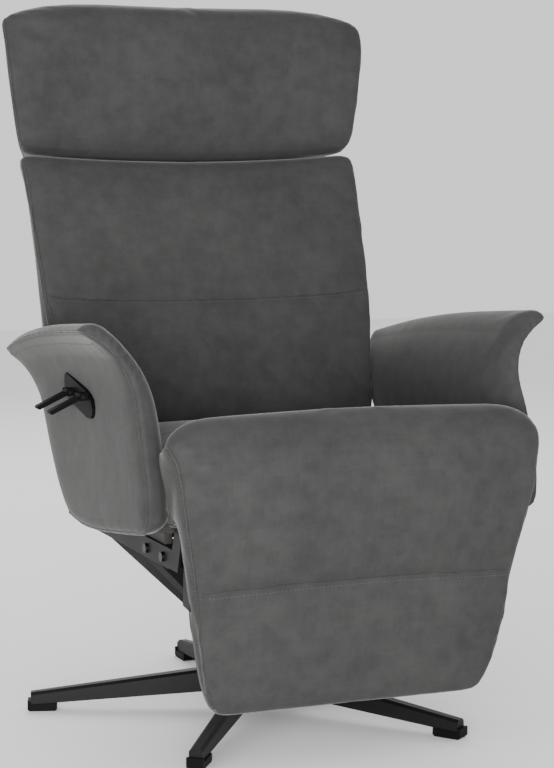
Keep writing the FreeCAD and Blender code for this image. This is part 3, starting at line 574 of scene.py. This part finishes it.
def tube_mesh(name, line, radius):
    """A round cord along a line."""
    points = np.array(line)
    count = len(points)
    tangents = np.gradient(points, axis=0)
    tangents /= np.linalg.norm(tangents, axis=1)[:, None]
    side = np.cross(tangents[0], (0.3, 0.9, 0.31))
    verts = []
    for point, tangent in zip(points, tangents):
        side = side - tangent * np.dot(side, tangent)
        side /= np.linalg.norm(side)
        up = np.cross(tangent, side)
        for k in range(CORD_SIDES):
            angle = 2 * math.pi * k / CORD_SIDES
            verts.append(tuple(point + radius * (math.cos(angle) * side + math.sin(angle) * up)))
    faces = []
    for ring in range(count - 1):
        here, there = ring * CORD_SIDES, (ring + 1) * CORD_SIDES
        for k in range(CORD_SIDES):
            n = (k + 1) % CORD_SIDES
            faces.append((here + k, here + n, there + n, there + k))
    faces.append(tuple(reversed(range(CORD_SIDES))))
    faces.append(tuple((count - 1) * CORD_SIDES + k for k in range(CORD_SIDES)))
    mesh = bpy.data.meshes.new(name)
    mesh.from_pydata(verts, [], faces)
    faced_out(mesh)
    return mesh


def joined_mesh(name, meshes):
    """Several meshes as one object."""
    build = bmesh.new()
    for mesh in meshes:
        build.from_mesh(mesh)
    whole = bpy.data.meshes.new(name)
    build.to_mesh(whole)
    build.free()
    piece = bpy.data.objects.new(name, whole)
    scene.collection.objects.link(piece)
    return piece


def smooth_shaded(piece):
    """Shade every face smooth."""
    piece.data.polygons.foreach_set("use_smooth", [True] * len(piece.data.polygons))
    piece.data.update()
    return piece


SEAM_RADIUS = 0.0013
CORD_LIFT, STITCH_LIFT = 0.0002, 0.0003


def corded(name, cover, lines):
    """The cord of folded fabric that lies in each seam of a cover."""
    cords = [tube_mesh(name, laid_on(cover, line, CORD_LIFT), SEAM_RADIUS) for line in lines]
    piece = smooth_shaded(joined_mesh(name, cords))
    piece.data.materials.append(velvet)
    return piece


# %% [markdown]
# Beside each seam runs a row of topstitching, thousands of small equal stitches. A Geometry Nodes
# group lays them along any line: it resamples the line by length, puts one stitch on each point,
# turns it along the line and makes the copies real. Spacing, stitch length, thickness and the
# seed are inputs.

# %% The stitch row group
STITCH_SPACING, STITCH_LENGTH, STITCH_THICKNESS = 0.006, 0.0042, 0.0009
STITCH_SEED = 7


def stitch_group():
    """Stitches along a line: resample, place, turn, size, make real and dress in thread."""
    group = bpy.data.node_groups.new("stitch row", "GeometryNodeTree")
    add = group.interface.new_socket
    add("Line", in_out="INPUT", socket_type="NodeSocketGeometry")
    for label, value in (("Spacing", STITCH_SPACING), ("Stitch Length", STITCH_LENGTH),
                         ("Thickness", STITCH_THICKNESS)):
        add(label, in_out="INPUT", socket_type="NodeSocketFloat").default_value = value
    add("Seed", in_out="INPUT", socket_type="NodeSocketInt").default_value = STITCH_SEED
    add("Thread", in_out="INPUT", socket_type="NodeSocketMaterial")
    add("Stitches", in_out="OUTPUT", socket_type="NodeSocketGeometry")
    entry, leave = group.nodes.new("NodeGroupInput"), group.nodes.new("NodeGroupOutput")
    link = group.links.new
    curve = group.nodes.new("GeometryNodeMeshToCurve")
    link(entry.outputs["Line"], curve.inputs["Mesh"])
    spaced = group.nodes.new("GeometryNodeResampleCurve")
    spaced.mode = "LENGTH"
    link(curve.outputs["Curve"], spaced.inputs["Curve"])
    link(entry.outputs["Spacing"], spaced.inputs["Length"])
    stitch = group.nodes.new("GeometryNodeMeshUVSphere")
    stitch.inputs["Segments"].default_value = 5
    stitch.inputs["Rings"].default_value = 3
    stitch.inputs["Radius"].default_value = 0.5
    tangent = group.nodes.new("GeometryNodeInputTangent")
    turned = group.nodes.new("FunctionNodeAlignRotationToVector")
    turned.axis = "Z"
    link(tangent.outputs["Tangent"], turned.inputs["Vector"])
    jitter = group.nodes.new("FunctionNodeRandomValue")
    jitter.inputs[2].default_value = 0.88
    jitter.inputs[3].default_value = 1.06
    link(entry.outputs["Seed"], jitter.inputs["Seed"])
    length = group.nodes.new("ShaderNodeMath")
    length.operation = "MULTIPLY"
    link(entry.outputs["Stitch Length"], length.inputs[0])
    link(jitter.outputs[1], length.inputs[1])
    sizes = group.nodes.new("ShaderNodeCombineXYZ")
    link(entry.outputs["Thickness"], sizes.inputs["X"])
    link(entry.outputs["Thickness"], sizes.inputs["Y"])
    link(length.outputs["Value"], sizes.inputs["Z"])
    copies = group.nodes.new("GeometryNodeInstanceOnPoints")
    link(spaced.outputs["Curve"], copies.inputs["Points"])
    link(stitch.outputs["Mesh"], copies.inputs["Instance"])
    link(turned.outputs["Rotation"], copies.inputs["Rotation"])
    link(sizes.outputs["Vector"], copies.inputs["Scale"])
    real = group.nodes.new("GeometryNodeRealizeInstances")
    link(copies.outputs["Instances"], real.inputs["Geometry"])
    dressed = group.nodes.new("GeometryNodeSetMaterial")
    link(real.outputs["Geometry"], dressed.inputs["Geometry"])
    link(entry.outputs["Thread"], dressed.inputs["Material"])
    link(dressed.outputs["Geometry"], leave.inputs["Stitches"])
    return group


stitch_nodes = stitch_group()


def stitched(name, lines):
    """Rows of stitches along lines of points, as one plain mesh."""
    build = bmesh.new()
    for line in lines:
        corners = [build.verts.new(tuple(point)) for point in line]
        for first, second in zip(corners, corners[1:]):
            build.edges.new((first, second))
    mesh = bpy.data.meshes.new(name)
    build.to_mesh(mesh)
    build.free()
    piece = bpy.data.objects.new(name, mesh)
    scene.collection.objects.link(piece)
    modifier = piece.modifiers.new("stitches", "NODES")
    modifier.node_group = stitch_nodes
    sockets = {item.name: item.identifier for item in stitch_nodes.interface.items_tree}
    modifier[sockets["Spacing"]] = STITCH_SPACING
    modifier[sockets["Seed"]] = STITCH_SEED
    modifier[sockets["Thread"]] = thread
    apply_modifiers(piece)
    smooth_shaded(piece)
    print(name, len(piece.data.polygons), "faces")
    return piece


# %% The whole pass for one cover
SEAM_TURN = math.radians(75)     # how far round the edge its seam lies
ROW_GAP = 0.005     # from an edge seam to its topstitching
ROW_DROP = np.array([0, 0, 0.006])     # from a cross seam down to its topstitching


def finished(cover, seams, stitch_lines, cap, shape=None, soft_depth=0.0012):
    """The whole pass from raw form to sewn cover. shape moves points after the stuffing."""
    lines = [dense(line, closed) for line, closed in seams]
    rows = [dense(line, closed) for line, closed in stitch_lines]
    stuffed(cover, lines, cap)
    subdivided(cover)
    if shape is not None:
        put_points(cover, shape(points_of(cover)))
        faced_out(cover.data)
        cover.data.update()
        lines = [shape(line) for line in lines]
        rows = [shape(line) for line in rows]
    pressed(cover, lines, soft_depth)
    smooth_shaded(cover)
    cover.data.materials.clear()
    cover.data.materials.append(velvet)
    cords = corded(cover.name + "_cords", cover, lines)
    stitches = stitched(cover.name + "_stitches", [laid_on(cover, row, STITCH_LIFT) for row in rows])
    print(cover.name, len(cover.data.polygons), "faces")
    return cover, cords, stitches


def beside(loop, side):
    """A closed row on a side panel, a little inside the edge seam."""
    inside = loop[:, :2] + inward_normals(loop) * (loop[:, 4] + ROW_GAP)[:, None]
    return np.column_stack([side * loop[:, 2], inside]), True


def edge_seams(loop):
    """The seams where the long panel meets the side panels."""
    normals = inward_normals(loop)
    return [(edge_row(loop, normals, side, SEAM_TURN), True) for side in (-1, 1)]


def eased(value):
    """Smooth step from 0 to 1."""
    share = np.clip(value, 0, 1)
    return share * share * (3 - 2 * share)


# %% [markdown]
# ## Seat and leg rest
# One piece of fabric runs over the seat, rolls over the front edge and down the leg rest. It is
# swept round a side outline: along the seat, down the front, back up behind the leg rest pad and
# under the seat. The front is wider than the part between the arms.

# %% Seat outline
COVER_VOXEL = 0.0075
FOAM_CAP = 0.006     # the most that a stuffed cover may swell
SEAT_LOOP = [
    # y, z, half width, rounding across, rounding inwards, crown
    (0.104, 0.338, 0.250, 0.010, 0.010, 0), (0.108, 0.390, 0.250, 0.014, 0.014, 0),
    (0.090, 0.430, 0.250, 0.022, 0.022, 0.004), (-0.100, 0.441, 0.250, 0.030, 0.026, 0.006),
    (-0.230, 0.454, 0.252, 0.040, 0.034, 0.004), (-0.300, 0.478, 0.264, 0.060, 0.040, 0.003),
    (-0.350, 0.501, 0.278, 0.066, 0.044, 0.002), (-0.384, 0.492, 0.282, 0.064, 0.042, 0.002),
    (-0.401, 0.464, 0.278, 0.040, 0.022, 0.005), (-0.404, 0.430, 0.270, 0.018, 0.010, 0.007),
    (-0.401, 0.380, 0.264, 0.011, 0.007, 0.009), (-0.389, 0.310, 0.249, 0.009, 0.006, 0.009),
    (-0.380, 0.260, 0.240, 0.009, 0.006, 0.008), (-0.373, 0.200, 0.234, 0.009, 0.006, 0.008),
    (-0.363, 0.140, 0.223, 0.010, 0.007, 0.006), (-0.360, 0.112, 0.214, 0.014, 0.010, 0.004),
    (-0.355, 0.092, 0.206, 0.022, 0.012, 0.002), (-0.340, 0.086, 0.203, 0.018, 0.010, 0),
    (-0.318, 0.096, 0.208, 0.012, 0.008, 0), (-0.318, 0.150, 0.222, 0.010, 0.006, 0),
    (-0.326, 0.220, 0.235, 0.010, 0.006, 0), (-0.334, 0.280, 0.243, 0.010, 0.006, 0),
    (-0.338, 0.330, 0.252, 0.010, 0.006, 0), (-0.326, 0.350, 0.252, 0.008, 0.006, 0),
    (-0.296, 0.342, 0.250, 0.008, 0.006, 0), (-0.100, 0.338, 0.250, 0.008, 0.006, 0),
]
CROSS_SEAM_HEIGHT = 0.264
CROSS_SEAM_BOW = 0.008
CROSS_SEAM_HALF = 0.238
CROSS_SEAM_FRONT = -0.388
SEAM_SAMPLES = 60

seat_loop = smooth_loop(SEAT_LOOP)
seat_cover = remeshed(boxed_mesh("seat_and_leg_rest_cover", seat_loop, 40), COVER_VOXEL)
print("seat cover:", len(seat_cover.data.vertices), "points")

# %% Seat seams


def across_front(height, bow, half, front):
    """A sewn line across a front panel, bowed upwards in the middle."""
    shares = np.linspace(-1, 1, SEAM_SAMPLES)
    return np.array([(half * s, front, height + bow * (1 - s * s)) for s in shares])


seat_seams = edge_seams(seat_loop)
cross_seam = across_front(CROSS_SEAM_HEIGHT, CROSS_SEAM_BOW, CROSS_SEAM_HALF, CROSS_SEAM_FRONT)
seat_seams.append((cross_seam, False))
rows = [(cross_seam - ROW_DROP, False)]
rows += [beside(seat_loop, side) for side in (-1, 1)]
seat_pieces = finished(seat_cover, seat_seams, rows, cap=FOAM_CAP, soft_depth=0.0018)
seat_cover = seat_pieces[0]
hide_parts("seat_cushion", "rest_pad")
for piece in seat_pieces:
    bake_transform(piece)

# %% [markdown]
# ## Backrest
# The back is drawn upright in its own frame and then leaned, like the frame under it. It is
# narrow between the arms and wider above them. A sewn line divides the lumbar pad from the
# upper pad, and a second seam on the side splits front cover from rear shell.

# %% Back outline
LEAN = math.radians(22.2)
BACK_FOOT = (0.128, 0.470)


def leaned(points):
    """From the back's own frame (x, depth, height) to the room."""
    x, depth, up = points[:, 0], points[:, 1], points[:, 2]
    return np.column_stack([x, BACK_FOOT[0] + depth * math.cos(LEAN) + up * math.sin(LEAN),
                            BACK_FOOT[1] - depth * math.sin(LEAN) + up * math.cos(LEAN)])


# height, half width
BACK_HALF_WIDTHS = ((-0.03, 0.254), (0.0, 0.258), (0.045, 0.264), (0.119, 0.273), (0.172, 0.281),
                    (0.25, 0.284), (0.42, 0.291))


def back_half(up):
    """Half width of the back's front face at a height."""
    heights, halves = zip(*BACK_HALF_WIDTHS)
    return float(np.interp(up, heights, halves))


SIDE_TAPER = 0.40
BACK_BAND = 0.036
BACK_OUTLINE = [
    # depth, height, rounding across, rounding inwards, crown
    (0.012, -0.040, 0.008, 0.010, 0), (0.000, 0.000, 0.010, 0.012, 0.002),
    (-0.003, 0.090, 0.014, 0.010, 0.008),
    (-0.004, 0.130, 0.014, 0.010, 0.012), (-0.003, 0.160, 0.014, 0.010, 0.008),
    (0.001, 0.182, 0.014, 0.010, 0.003), (-0.003, 0.215, 0.014, 0.010, 0.006),
    (-0.002, 0.290, 0.014, 0.010, 0.007), (-0.001, 0.380, 0.014, 0.010, 0.004),
    (0.006, 0.409, 0.016, 0.012, 0.001), (0.028, 0.422, 0.018, 0.012, 0), (0.062, 0.418, 0.018, 0.012, 0),
    (0.098, 0.406, 0.020, 0.014, 0), (0.116, 0.380, 0.024, 0.016, 0), (0.118, 0.250, 0.024, 0.016, 0.003),
    (0.116, 0.120, 0.020, 0.014, 0.003), (0.112, 0.020, 0.014, 0.012, 0),
    (0.098, -0.030, 0.012, 0.012, 0),
    (0.050, -0.044, 0.008, 0.010, 0),
]
LUMBAR_HEIGHT = 0.177
LUMBAR_SAG = 0.020
LUMBAR_HALF = 0.279
LUMBAR_DEPTH = -0.004


def back_width(depth, up):
    """Half width of the back: full over the side band, tapering behind it."""
    taper = SIDE_TAPER * max(depth - BACK_BAND, 0) * min(max((up - 0.1) / 0.06, 0), 1)
    return back_half(up) - taper


def back_shape(points):
    """Sag the top edge and pucker the cloth above the lumbar seam, then lean the back."""
    x, depth, up = points[:, 0], points[:, 1], points[:, 2]
    middle = np.clip(1 - (x / 0.285) ** 2, 0, 1)
    up = up - 0.012 * middle * eased((up - 0.33) / 0.07)
    seam = LUMBAR_HEIGHT - LUMBAR_SAG * middle
    above = np.exp(-np.maximum(up - seam, 0) / 0.028) * (up > seam) * (depth < 0.02)
    pucker = 0.0009 * np.sin(x * 165 + 1.4 * np.sin(x * 31)) * above
    crease = 0.0016 * np.exp(-((x * 0.80 + (up - 0.205) * 0.60 + 0.200) / 0.010) ** 2)
    crease += 0.0012 * np.exp(-((x * 0.70 + (up - 0.225) * 0.71 + 0.150) / 0.009) ** 2)
    crease = crease * np.exp(-((up - 0.25) / 0.045) ** 2) * (depth < 0.02)
    return leaned(np.column_stack([x, depth + pucker + crease, up]))


back_loop = smooth_loop([(d, u, back_width(d, u), a, n, c) for d, u, a, n, c in BACK_OUTLINE])
back_cover = remeshed(boxed_mesh("back_cover", back_loop, 44), COVER_VOXEL)
lumbar = np.array([(LUMBAR_HALF * s, LUMBAR_DEPTH, LUMBAR_HEIGHT - LUMBAR_SAG * (1 - s * s))
                   for s in np.linspace(-1, 1, SEAM_SAMPLES)])
band_heights = np.linspace(0.13, 0.395, 50)
side_lines = [(np.array([(side * back_half(u), BACK_BAND, u) for u in band_heights]), False)
              for side in (-1, 1)]
back_seams = edge_seams(back_loop) + [(lumbar, False)] + side_lines
rows = [(lumbar - ROW_DROP, False)] + [beside(back_loop, side) for side in (-1, 1)]
back_pieces = finished(back_cover, back_seams, rows, cap=FOAM_CAP, shape=back_shape,
                       soft_depth=0.0030)
back_cover = back_pieces[0]
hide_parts("back_cushion", "back_shell")
for piece in back_pieces:
    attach(piece, "back")

# %% [markdown]
# ## Head rest
# A firm pad with softly rounded upper corners. Its lowest edge tucks against the back; the head rest
# tilts, but its cover stays fixed in the room.

# %% Head rest
HEAD_LOOP = [
    # y, z, half width, rounding across, rounding inwards, crown
    (0.303, 0.860, 0.288, 0.016, 0.010, 0), (0.294, 0.878, 0.293, 0.014, 0.010, 0.002),
    (0.291, 0.950, 0.303, 0.013, 0.009, 0.006), (0.293, 1.030, 0.311, 0.020, 0.012, 0.005),
    (0.302, 1.074, 0.312, 0.080, 0.026, 0.002), (0.322, 1.092, 0.306, 0.150, 0.034, 0),
    (0.350, 1.096, 0.296, 0.160, 0.036, 0), (0.378, 1.090, 0.285, 0.140, 0.032, 0),
    (0.398, 1.062, 0.276, 0.060, 0.024, 0), (0.404, 1.000, 0.274, 0.026, 0.018, 0.002),
    (0.404, 0.900, 0.262, 0.022, 0.016, 0.002), (0.400, 0.846, 0.258, 0.022, 0.014, 0),
    (0.384, 0.834, 0.262, 0.018, 0.010, 0), (0.352, 0.846, 0.274, 0.014, 0.010, 0),
    (0.326, 0.851, 0.284, 0.012, 0.010, 0),
]


def head_shape(points):
    """Sag the lower edge of the head rest."""
    x, y, z = points.T
    middle = np.clip(1 - (x / 0.285) ** 2, 0, 1)
    drop = 0.012 * middle * eased((0.925 - z) / 0.06) * eased((0.36 - y) / 0.04)
    return np.column_stack([x, y, z - drop])


head_loop = smooth_loop(HEAD_LOOP)
head_cover = remeshed(boxed_mesh("head_rest_cover", head_loop, 44), COVER_VOXEL)
rows = [beside(head_loop, side) for side in (-1, 1)]
head_pieces = finished(head_cover, edge_seams(head_loop), rows, cap=FOAM_CAP, shape=head_shape)
head_cover = head_pieces[0]
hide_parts("head_cushion", "head_shell")
for piece in head_pieces:
    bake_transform(piece)

# %% [markdown]
# ## Arms
# Each arm starts as a flat boxed panel. Its upper part is then bent outwards round an arc that
# starts lower towards the rear, and thinned towards the lip, which gives the flared wing. The
# foam over the plywood is thin, so an arm swells less than a cushion.

# %% Arm outline and flare
ARM_MIDDLE = 0.276
ARM_HALF = 0.0215
ARM_ACROSS = 0.032     # rounding of the edge across the panel
ARM_VOXEL = 0.0055
ARM_CAP = 0.002
ARM_SEAM_TURN = math.radians(70)
FLARE_RADIUS = 0.1217
ARM_FRONT, ARM_REAR = -0.270, 0.240
ARM_LOOP = [
    # y, height, rounding of the edge inwards
    (-0.350, 0.372, 0.044), (-0.344, 0.352, 0.036), (-0.318, 0.339, 0.026), (-0.270, 0.331, 0.018),
    (-0.180, 0.319, 0.014), (-0.090, 0.309, 0.014), (-0.014, 0.308, 0.014), (0.034, 0.319, 0.014),
    (0.080, 0.352, 0.014), (0.124, 0.402, 0.014), (0.160, 0.452, 0.014), (0.202, 0.493, 0.014),
    (0.230, 0.524, 0.012), (0.252, 0.545, 0.012), (0.256, 0.560, 0.012), (0.240, 0.573, 0.014),
    (0.140, 0.600, 0.018), (0.036, 0.620, 0.022), (-0.060, 0.634, 0.026), (-0.140, 0.643, 0.028),
    (-0.205, 0.651, 0.030), (-0.244, 0.654, 0.028), (-0.263, 0.645, 0.028), (-0.269, 0.622, 0.032),
    (-0.274, 0.598, 0.038), (-0.280, 0.572, 0.042), (-0.290, 0.545, 0.044), (-0.306, 0.512, 0.046),
    (-0.322, 0.478, 0.048), (-0.338, 0.436, 0.048), (-0.350, 0.400, 0.048),
]
INNER_SOFT, OUTER_SOFT = 1.0, 0.3


def gathered(points):
    """Small gathers where the cloth is eased round the front top curve of an arm."""
    offset, y, up = points[:, 0], points[:, 1], points[:, 2]
    front = eased((-0.205 - y) / 0.03) * eased((up - 0.535) / 0.02) * eased((0.650 - up) / 0.015)
    middle = np.exp(-(offset / 0.016) ** 2)
    ripple = 0.0011 * np.sin((up * 1.1 - y * 0.9) * 2 * math.pi / 0.0125) * front * middle
    return points + np.column_stack([np.zeros_like(y), -0.7 * ripple, 0.7 * ripple])


def flared(points):
    """Bend the flat arm panel (x from the panel's middle, y, height) into the wing."""
    offset, y, up = gathered(points).T
    share = np.clip((y - ARM_FRONT) / (ARM_REAR - ARM_FRONT), 0, 1)
    start = 0.507 - 0.050 * share + 0.010 * np.sin(math.pi * share)
    turn = np.maximum(up - start, 0) / FLARE_RADIUS
    thin = 1 - 0.42 * np.clip((up - start + 0.02) / 0.10, 0, 1) ** 1.3
    offset = offset * thin
    x = ARM_MIDDLE + FLARE_RADIUS * (1 - np.cos(turn)) + offset * np.cos(turn)
    z = np.minimum(up, start) + FLARE_RADIUS * np.sin(turn) - offset * np.sin(turn)
    return np.column_stack([x, y, z])


def mirrored(points):
    """The other side of the chair."""
    return points * np.array([-1, 1, 1])


arm_loop = smooth_loop([(y, z, ARM_HALF, ARM_ACROSS, drop, 0) for y, z, drop in ARM_LOOP])
for side_name, side in (("left", 1), ("right", -1)):
    panel = boxed_mesh("arm_cover_" + side_name, arm_loop, 3, (INNER_SOFT, OUTER_SOFT))
    cover = remeshed(panel, ARM_VOXEL)
    shape = flared if side > 0 else (lambda points: mirrored(flared(points)))
    seam = edge_row(arm_loop, inward_normals(arm_loop), 1, ARM_SEAM_TURN, OUTER_SOFT)
    arm_pieces = finished(cover, [(seam, True)], [beside(arm_loop, 1)], cap=ARM_CAP, shape=shape)
    cover = arm_pieces[0]
    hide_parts("arm_pad_" + side_name)
    for piece in arm_pieces:
        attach(piece, "carrier")
